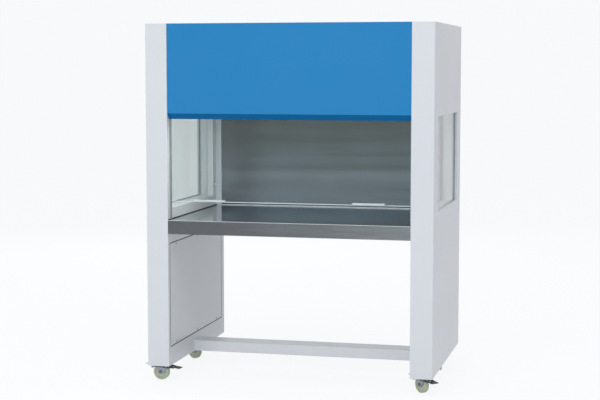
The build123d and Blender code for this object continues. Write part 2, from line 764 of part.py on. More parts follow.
with BuildPart() as lamp_holders:
    for y in (FLUORESCENT_Y, GERMICIDAL_Y):
        for side in (-1, 1):
            block(
                (side * LAMP_HALF_L, side * (LAMP_HALF_L + HOLDER_L)),
                (y - HOLDER_W / 2, y + HOLDER_W / 2),
                (HOLDER_FOOT_Z, CEILING_Z),
            )
    with BuildSketch(Plane.YZ.offset(-LAMP_HALF_L - PIN_L - SKIN)):
        for y in (FLUORESCENT_Y, GERMICIDAL_Y):
            with Locations((y - PIN_PITCH / 2, LAMP_Z), (y + PIN_PITCH / 2, LAMP_Z)):
                Circle(PIN_R + RUN_FIT)
    extrude(amount=2 * (LAMP_HALF_L + PIN_L + SKIN), mode=Mode.SUBTRACT)
save(lamp_holders.part, "lamp_holders")


# ---------------------------------------------------------------- sliding front glass
def sash_guide(side):
    """Upright channel on the side wall that the edge of the glass slides in."""
    with BuildPart() as guide:
        rise = (TABLE_Z - SKIN, HEIGHT - 2 * SKIN)
        block((side * WALL_X, side * (WALL_X - GUIDE_DEPTH)), GUIDE_Y, rise)
        block(
            (side * (WALL_X - SKIN), side * (WALL_X - GUIDE_DEPTH - SKIN)),
            grown(GUIDE_Y, -SKIN),
            grown(rise, SKIN),
            Mode.SUBTRACT,
        )
    return guide.part


def sash_handle(side):
    """Flat bow handle on two feet."""
    with BuildPart() as handle:
        across = (side * HANDLE_X - HANDLE_L / 2, side * HANDLE_X + HANDLE_L / 2)
        rise = (HANDLE_Z - HANDLE_H / 2, HANDLE_Z + HANDLE_H / 2)
        block(across, (HANDLE_FRONT_Y, HANDLE_FRONT_Y + HANDLE_BAR_T), rise)
        fillet(handle.edges().filter_by(Axis.X), radius=HANDLE_BAR_T / 3)
        for end in across:
            inward = HANDLE_FOOT_L if end == across[0] else -HANDLE_FOOT_L
            block((end, end + inward), (HANDLE_FRONT_Y + HANDLE_BAR_T / 2, GLASS_Y[0]), grown(rise, -1.0))
    return handle.part


for side, hand in ((-1, "left"), (1, "right")):
    save(sash_guide(side), f"{hand}_sash_guide")
    save(sash_handle(side), f"{hand}_sash_handle")

with BuildPart() as sash_glass:
    block((-GLASS_HALF_W, GLASS_HALF_W), GLASS_Y, (GLASS_FOOT_Z, GLASS_FOOT_Z + GLASS_H))
    chamfer(sash_glass.edges().filter_by(Axis.X), length=0.8)
save(sash_glass.part, "sash_glass")


# ---------------------------------------------------------------- castors
# fixed parts of the four castors: top plate, bearing head and riveted kingpin
with BuildPart() as castor_plates:
    for name, x, y, heading in CASTORS:
        block(
            (x - PLATE_HALF, x + PLATE_HALF),
            (y - PLATE_HALF, y + PLATE_HALF),
            (CASTOR_TOP_Z - PLATE_T, CASTOR_TOP_Z),
        )
        with BuildSketch(Plane.XY.offset(HEAD_FOOT_Z)):
            with Locations((x, y)):
                Circle(HEAD_R)
        extrude(amount=CASTOR_TOP_Z - PLATE_T - HEAD_FOOT_Z)
        with BuildSketch(Plane.XY.offset(RIVET_Z[0])):
            with Locations((x, y)):
                Circle(KINGPIN_R)
        extrude(amount=HEAD_FOOT_Z - RIVET_Z[0])
        with BuildSketch(Plane.XY.offset(RIVET_Z[0])):
            with Locations((x, y)):
                Circle(RIVET_R)
        extrude(amount=RIVET_Z[1] - RIVET_Z[0])
save(castor_plates.part, "castor_plates")


# one castor is drawn about its kingpin with the trail along +X, then turned and set in place
def fork():
    """Pressed fork: crown on the kingpin, two cheeks, and a boss on each for the brake lever."""
    with BuildPart() as made:
        with BuildSketch(Plane.XY.offset(CROWN_Z[0])):
            Circle(CROWN_R)
            with Locations((CROWN_SHIFT, 0)):
                Rectangle(CROWN_L, 2 * CHEEK_V[1])
        extrude(amount=CROWN_Z[1] - CROWN_Z[0])
        rear = CROWN_SHIFT - CROWN_L / 2
        fore = CROWN_SHIFT + CROWN_L / 2
        for v in (CHEEK_V[1], -CHEEK_V[0]):
            with BuildSketch(Plane.XZ.offset(-v)):
                with BuildLine():
                    Polyline(
                        (rear, CROWN_Z[1]),
                        (rear, PIVOT_UZ[1] - 2 * PIVOT_R),
                        (TRAIL - CHEEK_FOOT, WHEEL_R - CHEEK_FOOT),
                        (TRAIL + CHEEK_FOOT, WHEEL_R - CHEEK_FOOT),
                        (fore, CROWN_Z[1]),
                        close=True,
                    )
                make_face()
            extrude(amount=CHEEK_V[1] - CHEEK_V[0])
        for v in (BOSS_V, -CHEEK_V[0]):
            with BuildSketch(Plane.XZ.offset(-v)):
                with Locations(PIVOT_UZ):
                    Circle(PIVOT_R)
            extrude(amount=BOSS_V - CHEEK_V[0])
        with BuildSketch(Plane.XZ.offset(-BOSS_V)):
            with Locations((TRAIL, WHEEL_R)):
                Circle(AXLE_R + RUN_FIT)
        extrude(amount=2 * BOSS_V, mode=Mode.SUBTRACT)
        with BuildSketch(Plane.XY):
            Circle(KINGPIN_R + RUN_FIT)
        extrude(amount=CASTOR_TOP_Z, mode=Mode.SUBTRACT)
    return made.part


def axle():
    """Headed axle through both cheeks."""
    with BuildPart() as made:
        with BuildSketch(Plane.XZ.offset(-CHEEK_V[1])):
            with Locations((TRAIL, WHEEL_R)):
                Circle(AXLE_R)
        extrude(amount=2 * CHEEK_V[1])
        for v in (CHEEK_V[1] + AXLE_HEAD_H, -CHEEK_V[1]):
            with BuildSketch(Plane.XZ.offset(-v)):
                with Locations((TRAIL, WHEEL_R)):
                    Circle(AXLE_HEAD_R)
            extrude(amount=AXLE_HEAD_H)
    return made.part


def wheel():
    """Moulded wheel with a rounded tread, dished sides and a plain bore."""
    bore_r = AXLE_R + RUN_FIT
    hub_r = 2 * AXLE_R + SKIN
    dish_r = WHEEL_R - 2 * TYRE_ROUND
    dish_v = WHEEL_HALF_W - WHEEL_DISH
    side_half = [
        (bore_r, WHEEL_HALF_W),
        (hub_r, WHEEL_HALF_W),
        (hub_r, dish_v),
        (dish_r, dish_v),
        (dish_r, WHEEL_HALF_W),
        (WHEEL_R - TYRE_ROUND, WHEEL_HALF_W),
        (WHEEL_R - TYRE_ROUND * 0.3, WHEEL_HALF_W - TYRE_ROUND * 0.3),
        (WHEEL_R, WHEEL_HALF_W - TYRE_ROUND),
    ]
    other_half = [(r, -v) for r, v in reversed(side_half)]
    centre = Plane(origin=(TRAIL, 0, WHEEL_R), x_dir=(1, 0, 0), z_dir=(0, 0, 1))
    with BuildPart() as made:
        with BuildSketch(centre):
            with BuildLine():
                Polyline(*side_half, *other_half, close=True)
            make_face()
        revolve(axis=Axis((TRAIL, 0, WHEEL_R), (0, 1, 0)))
    return made.part


def brake_lever():
    """Rocker with two side arms, a brake bar behind the wheel and a pedal at each end."""
    arm_w = ARM_V[1] - ARM_V[0]
    with BuildPart() as made:
        for v in (ARM_V[1], -ARM_V[0]):
            with BuildSketch(Plane.XZ.offset(-v)):
                with BuildLine():
                    Polyline(
                        (LEAD_U, PIVOT_UZ[1] - 2 * LEVER_T),
                        (LEAD_U, PIVOT_UZ[1]),
                        (PIVOT_UZ[0] - 2 * LEVER_T, PIVOT_UZ[1] + 2 * LEVER_T),
                        (BAR_U + BAR_T, LEVER_TOP_Z),
                        (BAR_U + BAR_T, LEVER_TOP_Z - 3 * LEVER_T),
                        (PIVOT_UZ[0], PIVOT_UZ[1] - 2 * LEVER_T),
                        close=True,
                    )
                make_face()
            extrude(amount=arm_w)
        block((BAR_U, BAR_U + BAR_T), (-ARM_V[1], ARM_V[1]), (BAR_FOOT_Z, LEVER_TOP_Z - SKIN / 2))
        with BuildSketch(Plane.XZ.offset(-ARM_V[1])):
            with BuildLine():
                Polyline(
                    (BAR_U + BAR_T - 1, LEVER_TOP_Z - LEVER_T),
                    (BAR_U + BAR_T - 1, LEVER_TOP_Z),
                    (TRAIL_REACH - LEVER_T, LEVER_TOP_Z + LEVER_T),
                    (TRAIL_REACH, LEVER_TOP_Z + LEVER_T / 2),
                    (TRAIL_REACH - LEVER_T, LEVER_TOP_Z),
                    close=True,
                )
            make_face()
            with BuildLine():
                Polyline(
                    (LEAD_U + 2, PIVOT_UZ[1] - LEVER_T),
                    (LEAD_U + 2, PIVOT_UZ[1]),
                    (LEVER_T - LEAD_REACH, PIVOT_UZ[1] - LEVER_T),
                    (-LEAD_REACH, PIVOT_UZ[1] - 2 * LEVER_T),
                    (LEVER_T - LEAD_REACH, PIVOT_UZ[1] - 2 * LEVER_T),
                    close=True,
                )
            make_face()
        extrude(amount=2 * ARM_V[1])
        with BuildSketch(Plane.XZ.offset(-BOSS_V)):
            with Locations(PIVOT_UZ):
                Circle(PIVOT_R + RUN_FIT)
        extrude(amount=2 * BOSS_V, mode=Mode.SUBTRACT)
    return made.part


for name, x, y, heading in CASTORS:
    place = Location((x, y, 0), (0, 0, heading))
    save(place * fork(), f"{name}_fork")
    save(place * axle(), f"{name}_axle")
    save(place * wheel(), f"{name}_wheel")
    save(place * brake_lever(), f"{name}_brake_lever")
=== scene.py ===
import math

import bmesh
import bpy
from mathutils import Matrix, Vector


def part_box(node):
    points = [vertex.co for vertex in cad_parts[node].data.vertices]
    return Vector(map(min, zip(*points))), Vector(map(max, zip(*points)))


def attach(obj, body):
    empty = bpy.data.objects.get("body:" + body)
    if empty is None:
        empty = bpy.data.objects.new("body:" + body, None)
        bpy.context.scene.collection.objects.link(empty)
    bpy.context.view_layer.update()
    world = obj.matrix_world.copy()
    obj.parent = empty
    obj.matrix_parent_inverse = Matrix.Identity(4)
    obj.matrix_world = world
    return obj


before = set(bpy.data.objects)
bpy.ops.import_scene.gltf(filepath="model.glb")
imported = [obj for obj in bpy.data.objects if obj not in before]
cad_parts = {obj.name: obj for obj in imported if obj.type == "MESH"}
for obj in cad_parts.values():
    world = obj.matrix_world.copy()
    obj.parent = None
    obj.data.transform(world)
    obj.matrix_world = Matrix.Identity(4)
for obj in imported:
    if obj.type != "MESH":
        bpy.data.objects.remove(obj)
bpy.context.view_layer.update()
scene = bpy.context.scene

# ---------------------------------------------------------------- camera, floor and light
# A pale seamless floor swept up far behind the bench, with one broad soft lamp before it and
# weaker ones at the right, above and behind. The floor is seen a little lighter than it is
# lit, and keeps its shadow.

FLOOR_HALF_W = 20.0
FLOOR_FRONT_Y = -14.0
FLOOR_REAR_Y = 20.0
BACKDROP_RADIUS = 3.0
AIR_COLOUR = (0.955, 0.972, 1.0, 1.0)
AIR_LIGHT = 0.52
AIR_SEEN = 0.98
FLOOR_GLOW = 1.040
GLOW_SHARE = 0.86
SOFT_LAMPS = (
    ("front_lamp", (-0.8, -6.8, 1.5), (0.0, 0.0, 0.8), 4.0, 86.0),
    ("right_lamp", (3.6, -6.0, 1.0), (0.0, 0.0, 0.6), 2.4, 8.0),
    ("top_lamp", (0.2, -2.4, 4.6), (0.0, 0.0, 0.3), 3.4, 46.0),
    ("rear_lamp", (-1.8, 4.4, 2.6), (0.0, 0.0, 0.2), 3.0, 34.0),
)
CAMERA_PLACE = (1.5133, -6.4427, 1.4062)
YAW, PITCH = -0.2373, -0.0922


class Level:
    """A number that varies over a surface. Arithmetic on it adds Math nodes."""

    def __init__(self, shader, socket):
        self.shader = shader
        self.socket = socket

    def combine(self, operation, first, second):
        node = self.shader.add("ShaderNodeMath", {"operation": operation}, {0: first, 1: second})
        return Level(self.shader, node.outputs[0])

    def __add__(self, other):
        return self.combine("ADD", self, other)

    def __radd__(self, other):
        return self.combine("ADD", other, self)

    def __sub__(self, other):
        return self.combine("SUBTRACT", self, other)

    def __rsub__(self, other):
        return self.combine("SUBTRACT", other, self)

    def __mul__(self, other):
        return self.combine("MULTIPLY", self, other)

    def __rmul__(self, other):
        return self.combine("MULTIPLY", other, self)

    def __gt__(self, other):
        return self.combine("GREATER_THAN", self, other)

    def __lt__(self, other):
        return self.combine("LESS_THAN", self, other)

    def top(self, other):
        return self.combine("MAXIMUM", self, other)

    def low(self, other):
        return self.combine("MINIMUM", self, other)


class Shader:
    """The node tree of one finish."""

    def __init__(self, owner):
        self.owner = owner
        owner.use_nodes = True
        self.tree = owner.node_tree
        self.tree.nodes.clear()

    def add(self, kind, settings=None, inputs=None):
        """A node of that kind, its settings first and then the values or links it takes."""
        node = self.tree.nodes.new(kind)
        for key, value in (settings or {}).items():
            setattr(node, key, value)
        for key, value in (inputs or {}).items():
            socket = node.inputs[key]
            if isinstance(value, Level):
                self.tree.links.new(value.socket, socket)
            elif isinstance(value, bpy.types.NodeSocket):
                self.tree.links.new(value, socket)
            else:
                socket.default_value = value
        return node

    def place(self, stretch=(1.0, 1.0, 1.0)):
        """Object coordinates, stretched."""
        here = self.add("ShaderNodeTexCoord").outputs["Object"]
        return self.add("ShaderNodeMapping", {}, {"Vector": here, "Scale": stretch}).outputs[0]

    def along(self, axis):
        """The object coordinate along X, Y or Z, in metres."""
        here = self.add("ShaderNodeTexCoord").outputs["Object"]
        return Level(self, self.add("ShaderNodeSeparateXYZ", {}, {0: here}).outputs[axis])

    def grain(self, size, stretch=(1.0, 1.0, 1.0), detail=2.0):
        """Noise from 0 to 1 whose spots are about that many metres across."""
        node = self.add(
            "ShaderNodeTexNoise",
            {"noise_dimensions": "3D"},
            {
                "Vector": self.place(stretch), "Scale": 1.0 / size, "Detail": detail,
                "Roughness": 0.55,
            },
        )
        return Level(self, node.outputs[0])

    def tint(self, share, first, second):
        """A colour between two others, the second where the share is 1."""
        ends = [(*end, 1.0) if isinstance(end, tuple) else end for end in (first, second)]
        node = self.add(
            "ShaderNodeMix",
            {"data_type": "RGBA", "clamp_factor": True},
            {0: share, 6: ends[0], 7: ends[1]},
        )
        return node.outputs[2]

    def bump(self, level, depth, strength):
        """Relief that many metres deep."""
        return self.add(
            "ShaderNodeBump", {}, {"Height": level, "Distance": depth, "Strength": strength}
        ).outputs[0]

    def surface(self, **sockets):
        """The Principled surface of this finish, joined to its output."""
        names = {key.replace("_", " "): value for key, value in sockets.items()}
        return self.finish(self.add("ShaderNodeBsdfPrincipled", {}, names).outputs[0])

    def finish(self, result):
        """Joins the last node to the output and gives back the material."""
        self.add("ShaderNodeOutputMaterial", {}, {"Surface": result})
        return self.owner


def new_shader(name):
    return Shader(bpy.data.materials.new(name))


def piece(name, mesh, finish, body="cabinet", smooth=None):
    """A finished mesh as one piece that rides on a body."""
    bmesh.ops.recalc_face_normals(mesh, faces=mesh.faces)
    data = bpy.data.meshes.new(name)
    mesh.to_mesh(data)
    mesh.free()
    data.materials.append(finish)
    made = bpy.data.objects.new(name, data)
    scene.collection.objects.link(made)
    if smooth is not None:
        data.shade_smooth()
        data.set_sharp_from_angle(angle=math.radians(smooth))
    if body:
        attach(made, body)
    return made


def bar(low, high, round_off=0.0, segments=2):
    """A straight bar between two corners, with its edges rounded off."""
    mesh = bmesh.new()
    bmesh.ops.create_cube(mesh, size=1.0)
    size = [b - a for a, b in zip(low, high)]
    middle = [(a + b) / 2 for a, b in zip(low, high)]
    bmesh.ops.scale(mesh, vec=size, verts=mesh.verts)
    bmesh.ops.translate(mesh, vec=middle, verts=mesh.verts)
    if round_off:
        bmesh.ops.bevel(
            mesh, geom=mesh.edges[:], offset=round_off, offset_type="OFFSET", affect="EDGES",
            segments=segments, profile=0.5, material=-1, clamp_overlap=True,
        )
    return mesh


def seen_share(shader):
    """1 where the camera, a reflection or a pane looks straight at it."""
    path = shader.add("ShaderNodeLightPath")
    camera = Level(shader, path.outputs["Is Camera Ray"])
    glossy = Level(shader, path.outputs["Is Glossy Ray"])
    through = Level(shader, path.outputs["Is Transmission Ray"])
    return camera.top(glossy).top(through)


world = bpy.data.worlds.new("studio")
scene.world = world
air = Shader(world)
sky = air.add(
    "ShaderNodeBackground",
    {},
    {"Color": AIR_COLOUR, "Strength": AIR_LIGHT + seen_share(air) * (AIR_SEEN - AIR_LIGHT)},
)
air.add("ShaderNodeOutputWorld", {}, {"Surface": sky.outputs[0]})

sweep = bmesh.new()
first = sweep.verts.new((-FLOOR_HALF_W, FLOOR_FRONT_Y, 0.0))
last = sweep.verts.new((FLOOR_HALF_W, FLOOR_FRONT_Y, 0.0))
edge = sweep.edges.new((first, last))
run = bmesh.ops.extrude_edge_only(sweep, edges=[edge])
reach = [v for v in run["geom"] if isinstance(v, bmesh.types.BMVert)]
bmesh.ops.translate(sweep, vec=(0.0, FLOOR_REAR_Y - FLOOR_FRONT_Y, 0.0), verts=reach)
bend = [e for e in run["geom"] if isinstance(e, bmesh.types.BMEdge) and set(e.verts) == set(reach)]
bmesh.ops.spin(
    sweep, geom=bend, cent=(0.0, FLOOR_REAR_Y, BACKDROP_RADIUS), axis=(1.0, 0.0, 0.0),
    angle=math.radians(90.0), steps=24, use_duplicate=False,
)
studio_paint = new_shader("studio_floor")
matt = studio_paint.add("ShaderNodeBsdfDiffuse", {}, {"Color": (0.95, 0.955, 0.96, 1.0)})
glow = studio_paint.add(
    "ShaderNodeEmission", {}, {"Color": (0.975, 0.985, 1.0, 1.0), "Strength": FLOOR_GLOW}
)
floor_mix = studio_paint.add(
    "ShaderNodeMixShader", {},
    {0: seen_share(studio_paint) * GLOW_SHARE, 1: matt.outputs[0], 2: glow.outputs[0]},
)
floor_finish = studio_paint.finish(floor_mix.outputs[0])
piece("studio_floor", sweep, floor_finish, body=None, smooth=60)


def soft_lamp(name, spot, aim, width, length, power):
    """A broad lamp that lights the bench and isn't seen itself."""
    panel = bpy.data.lights.new(name, "AREA")
    panel.shape = "RECTANGLE"
    panel.size = width
    panel.size_y = length
    panel.energy = power
    lamp = bpy.data.objects.new(name, panel)
    scene.collection.objects.link(lamp)
    lamp.location = spot
    lamp.rotation_euler = (Vector(aim) - Vector(spot)).to_track_quat("-Z", "Y").to_euler()
    lamp.visible_camera = False
    lamp.visible_glossy = False


for name, spot, aim, width, power in SOFT_LAMPS:
    soft_lamp(name, spot, aim, width, width, power)

lens = bpy.data.cameras.new("camera")
lens.lens = 86.4
lens.sensor_width = 36.0
lens.clip_end = 60.0
camera = bpy.data.objects.new("camera", lens)
scene.collection.objects.link(camera)
camera.location = CAMERA_PLACE
forward = Vector(
    (math.sin(YAW) * math.cos(PITCH), math.cos(YAW) * math.cos(PITCH), math.sin(PITCH))
)
camera.rotation_euler = forward.to_track_quat("-Z", "Y").to_euler()
scene.camera = camera
scene.view_settings.view_transform = "Standard"

# ---------------------------------------------------------------- white side boxes
# Folded sheet steel, sprayed with off-white powder and baked: a faint orange peel, a slow
# drift of tone, and scuffs low down where shoes and trolleys reach.

HANDS = (("left", -1), ("right", 1))
SCUFF_TOP = 0.24
LIP_SHADE_GREEN, LIP_SHADE_BLUE = 0.54, 0.64


def dress(finish, *names):
    """Gives a finish to solids that keep their own shape."""
    for name in names:
        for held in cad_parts[name].material_slots:
            held.material = finish


def powder_coat(name, colour, shade, roughness=0.34, gloss=0.5, scuffed=True, painted_shade_below=None):
    """Baked powder: close tones, fine orange peel, scuffs near the floor, painted shade below a
    height.
    """
    coat = new_shader(name)
    drift = coat.grain(0.35, detail=3.0)
    peel = coat.grain(0.0022, detail=1.0)
    body = coat.tint(drift, shade, colour)
    if scuffed:
        reach = (SCUFF_TOP - coat.along("Z")) * 3.2
        marks = (coat.grain(0.012, (1.0, 1.0, 0.35), 4.0) - 0.60) * 4.0
        grime = tuple(0.72 * c for c in shade)
        body = coat.tint((reach.top(0.0) * marks.top(0.0)).low(0.07), body, grime)
    # Painted shade: below that height the coat turns a deeper tone, for a face turned down from
    # the light.
    if painted_shade_below:
        lip_painted_shade = (0.0, LIP_SHADE_GREEN * shade[1], LIP_SHADE_BLUE * shade[2])
        body = coat.tint(coat.along("Z") < painted_shade_below, body, lip_painted_shade)
    return coat.surface(
        Base_Color=body,
        Roughness=roughness + (drift - 0.5) * 0.10,
        Normal=coat.bump(peel, 0.00012, 0.45),
        Specular_IOR_Level=gloss,
    )


white_coat = powder_coat("white_enamel", (0.785, 0.815, 0.860), (0.765, 0.795, 0.842))
inner_coat = powder_coat("inner_enamel", (0.765, 0.788, 0.808), (0.748, 0.770, 0.792))
# The crossbar's coat is a paler copy of the white enamel: painted light on its top and front under
# the worktop.
bar_coat_painted_light = powder_coat("bar_enamel_painted_light", (0.870, 0.892, 0.925), (0.850, 0.875, 0.910))
for hand, side in HANDS:
    dress(white_coat, f"{hand}_side_casing")
    dress(inner_coat, f"{hand}_inner_panel", f"{hand}_access_cover")
dress(white_coat, "top_cover", "back_cover", "diffuser_frame")
dress(bar_coat_painted_light, "crossbar")

# ---------------------------------------------------------------- access cover seals
# Black foam strip pressed into the gap round each flush cover plate of the legs.
# It is cut from a strip and glued to the ledge that the plate is screwed to.

SEAL_X = 0.5418
SEAL_THICK = 0.0014
SEAL_WIDTH = 0.0044
SEAL_REACH = 0.0037


def foam_rubber(name, colour):
    """Closed-cell foam: matt, finely pitted, greyer where it has been touched."""
    foam = new_shader(name)
    pits = foam.grain(0.0009, detail=2.0)
    rub = foam.grain(0.05, detail=3.0)
    return foam.surface(
        Base_Color=foam.tint(rub, colour, tuple(2.2 * c for c in colour)),
        Roughness=0.78 + (pits - 0.5) * 0.2,
        Normal=foam.bump(pits, 0.0002, 0.7),
    )


def frame_strip(side, face, depth, y, z, width):
    """A flat ring in the plane of a side wall, outer edge on y and z, that wide."""
    mesh = bmesh.new()
    bmesh.ops.create_grid(mesh, x_segments=1, y_segments=1, size=0.5)
    bmesh.ops.rotate(mesh, matrix=Matrix.Rotation(math.radians(90.0), 3, "Y"), verts=mesh.verts)
    bmesh.ops.scale(mesh, vec=(1.0, y[1] - y[0], z[1] - z[0]), verts=mesh.verts)
    bmesh.ops.translate(mesh, vec=(side * face, sum(y) / 2, sum(z) / 2), verts=mesh.verts)
    inner = mesh.faces[:]
    bmesh.ops.inset_region(
        mesh, faces=inner, thickness=width, use_even_offset=True, use_boundary=True
    )
    bmesh.ops.delete(mesh, geom=inner, context="FACES")
    grown = bmesh.ops.extrude_face_region(mesh, geom=mesh.faces[:])
    moved = [v for v in grown["geom"] if isinstance(v, bmesh.types.BMVert)]
    bmesh.ops.translate(mesh, vec=(side * depth, 0.0, 0.0), verts=moved)
    return mesh


black_foam = foam_rubber("black_foam", (0.022, 0.025, 0.024))
for hand, side in HANDS:
    low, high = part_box(f"{hand}_access_cover")
    y, z = ((low[axis] - SEAL_REACH, high[axis] + SEAL_REACH) for axis in (1, 2))
    seal = frame_strip(side, SEAL_X, SEAL_THICK, y, z, SEAL_WIDTH)
    piece(f"{hand}_access_seal", seal, black_foam)

# ---------------------------------------------------------------- wall studs
# One small domed cap in each inner wall beside the rear sheet, moulded in plastic and pressed
# through the skin, its bright white a painted highlight. It hides the bolt that ties the wall to
# the filter box.

STUD_BACK_X = 0.5420
STUD_Y, STUD_Z = 0.2950, 0.8340
STUD_RADIUS = 0.0062
STUD_HEIGHT = 0.0080


def stud(side, y, z, radius, height):
    """A low dome with a rolled rim, its back on the inner wall."""
    mesh = bmesh.new()
    profile = [
        (radius, 0.0), (radius, 0.3 * height), (0.86 * radius, 0.62 * height),
        (0.55 * radius, 0.88 * height), (0.0, height),
    ]
    points = [mesh.verts.new((r, 0.0, up)) for r, up in profile]
    rim = [mesh.edges.new(pair) for pair in zip(points, points[1:])]
    bmesh.ops.spin(
        mesh, geom=points + rim, cent=(0.0, 0.0, 0.0), axis=(0.0, 0.0, 1.0),
        angle=math.radians(360.0), steps=24, use_merge=True, use_duplicate=False,
    )
    bmesh.ops.remove_doubles(mesh, verts=mesh.verts, dist=0.00001)
    turn = Matrix.Rotation(math.radians(-90.0 * side), 3, "Y")
    bmesh.ops.rotate(mesh, matrix=turn, verts=mesh.verts)
    bmesh.ops.translate(mesh, vec=(side * STUD_BACK_X, y, z), verts=mesh.verts)
    return mesh


def moulded(name, colour, shade, roughness=0.4):
    """Moulded plastic: even tone, a fine spark-eroded grain and slight flow marks."""
    resin = new_shader(name)
    flow = resin.grain(0.02, (0.4, 1.0, 1.0), 2.0)
    skin = resin.grain(0.0006, detail=1.0)
    return resin.surface(
        Base_Color=resin.tint(flow, shade, colour),
        Roughness=roughness + (skin - 0.5) * 0.12,
        Normal=resin.bump(skin, 0.00005, 0.5),
    )


# The cap's glossy white is a painted highlight.
stud_cap_painted_highlight = moulded("stud_cap_painted_highlight", (0.96, 0.97, 0.96), (0.90, 0.92, 0.91), 0.15)
for hand, side in HANDS:
    dome = stud(side, STUD_Y, STUD_Z, STUD_RADIUS, STUD_HEIGHT)
    piece(f"{hand}_wall_stud", dome, stud_cap_painted_highlight, smooth=40)

# ---------------------------------------------------------------- blue hood front
# One folded sheet of steel in baked blue powder, with a lip turned under at its foot.
# It hooks over the top cover and hides the raised front glass.

LIP_HEIGHT = 0.0245
# The lip turned under at the foot is painted a deeper blue, as painted shade on its downward face.
blue_coat = powder_coat(
    "blue_enamel", (0.036, 0.262, 0.580), (0.024, 0.252, 0.570), 0.38, 0.10, scuffed=False,
    painted_shade_below=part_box("hood_fascia")[0][2] + LIP_HEIGHT,
)
dress(blue_coat, "hood_fascia")

# ---------------------------------------------------------------- stainless worktop
# Sheet stainless steel folded down to an apron at the front, polished lengthwise until it
# mirrors the walls softly. A bead of black sealant closes the joint to each side wall.

APRON_TOP_Z = 0.7295
TOP_FACE_Z = 0.7296
FRONT_BEND_Y = -0.4268
BEAD_X = (0.5394, 0.5422)
BEAD_RISE = 0.0035


def brushed_steel(name, colour, shade, roughness, fine, drift, painted_highlight, bare=1.0, relief=0.4):
    """Steel rubbed from side to side: long thin scratches in tone, gloss and relief."""
    steel = new_shader(name)
    scratches = steel.grain(fine, (0.012, 1.0, 1.0), 4.0)
    bands = steel.grain(0.016, (0.05, 1.0, 1.0), 3.0)
    cloud = steel.grain(0.30, detail=2.0)
    # The caller's tone can carry painted light and shade besides the streaks of the rubbing.
    tone = drift(steel) + (scratches * 0.6 + bands * 0.2 + cloud * 0.2 - 0.5) * 1.2
    body = steel.tint(tone, shade, colour)
    # Painted highlight: where the caller's mask is set, the colour is painted paler.
    body = steel.tint(painted_highlight(steel) * 0.8, body, (0.80, 0.84, 0.84))
    return steel.surface(
        Base_Color=body,
        Metallic=bare,
        Roughness=roughness + (scratches - 0.5) * roughness + (cloud - 0.5) * 0.03,
        Normal=steel.bump(scratches, 0.00001, relief),
    )


def table_painted_light(steel):
    """Painted light and reflection: the top paler to the left and rear, the apron paler to the
    right.
    """
    low_down = steel.along("Z") < APRON_TOP_Z
    top_painted_reflection = (-0.15 - steel.along("X")).top(0.0) * 0.9 + steel.along("Y") * 0.35 + 0.60
    apron_painted_light = steel.along("X") * 0.36 + 0.10
    return low_down * (apron_painted_light - top_painted_reflection) + top_painted_reflection


def front_bend_painted_highlight(steel):
    """A painted highlight along the bend at the front."""
    return (steel.along("Z") > TOP_FACE_Z) * (steel.along("Y") < FRONT_BEND_Y)


# The worktop's tone is painted: a painted reflection on the top, painted light along the apron.
table_steel = brushed_steel(
    "table_steel", (0.435, 0.490, 0.500), (0.120, 0.128, 0.138), 0.100, 0.0012, table_painted_light,
    front_bend_painted_highlight, bare=0.82,
)
dress(table_steel, "worktop")
sealant = foam_rubber("sealant", (0.020, 0.026, 0.022))
low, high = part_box("worktop")
for hand, side in HANDS:
    left_x, right_x = sorted(side * x for x in BEAD_X)
    bead = bar(
        (left_x, low[1] + 0.004, high[2] - 0.001),
        (right_x, high[1] - 0.001, high[2] + BEAD_RISE),
        0.0012,
    )
    piece(f"{hand}_worktop_seal", bead, sealant, smooth=40)

# ---------------------------------------------------------------- rear wall
# The air comes through one stainless sheet, rubbed crosswise, in a white frame. The filter
# and the air box behind it are closed in by the back cover.

REFLECTION_BAND_Z = 0.885


def wall_streaks_and_painted_shade(steel):
    """Painted shade: darker towards the top and paler low down, in long soft streaks of the
    rubbing.
    """
    streaks = steel.grain(0.045, (0.05, 1.0, 1.0), 2.0)
    return 3.12 - steel.along("Z") * 2.90 + (streaks - 0.5) * 1.3


def painted_reflection_band(steel):
    """A painted reflection: a band painted a little brighter, fading above and below."""
    away = steel.along("Z") - REFLECTION_BAND_Z
    return (0.055 - away * away * 60.0).top(0.0)


# The rear sheet's colour carries painted shade towards the top and a painted reflection band low
# down.
wall_steel = brushed_steel(
    "wall_steel", (0.134, 0.168, 0.204), (0.050, 0.066, 0.067), 0.22, 0.0016, wall_streaks_and_painted_shade,
    painted_reflection_band, relief=0.12,
)
dress(wall_steel, "diffuser_panel")

# ---------------------------------------------------------------- glass
# Float glass 5 mm thick: two panes in each side wall and one sliding sheet in front.
# Faintly green, clear face on, mirror-like at a slant, with a trace of wiping haze.

GROUND_EDGE = 0.0035


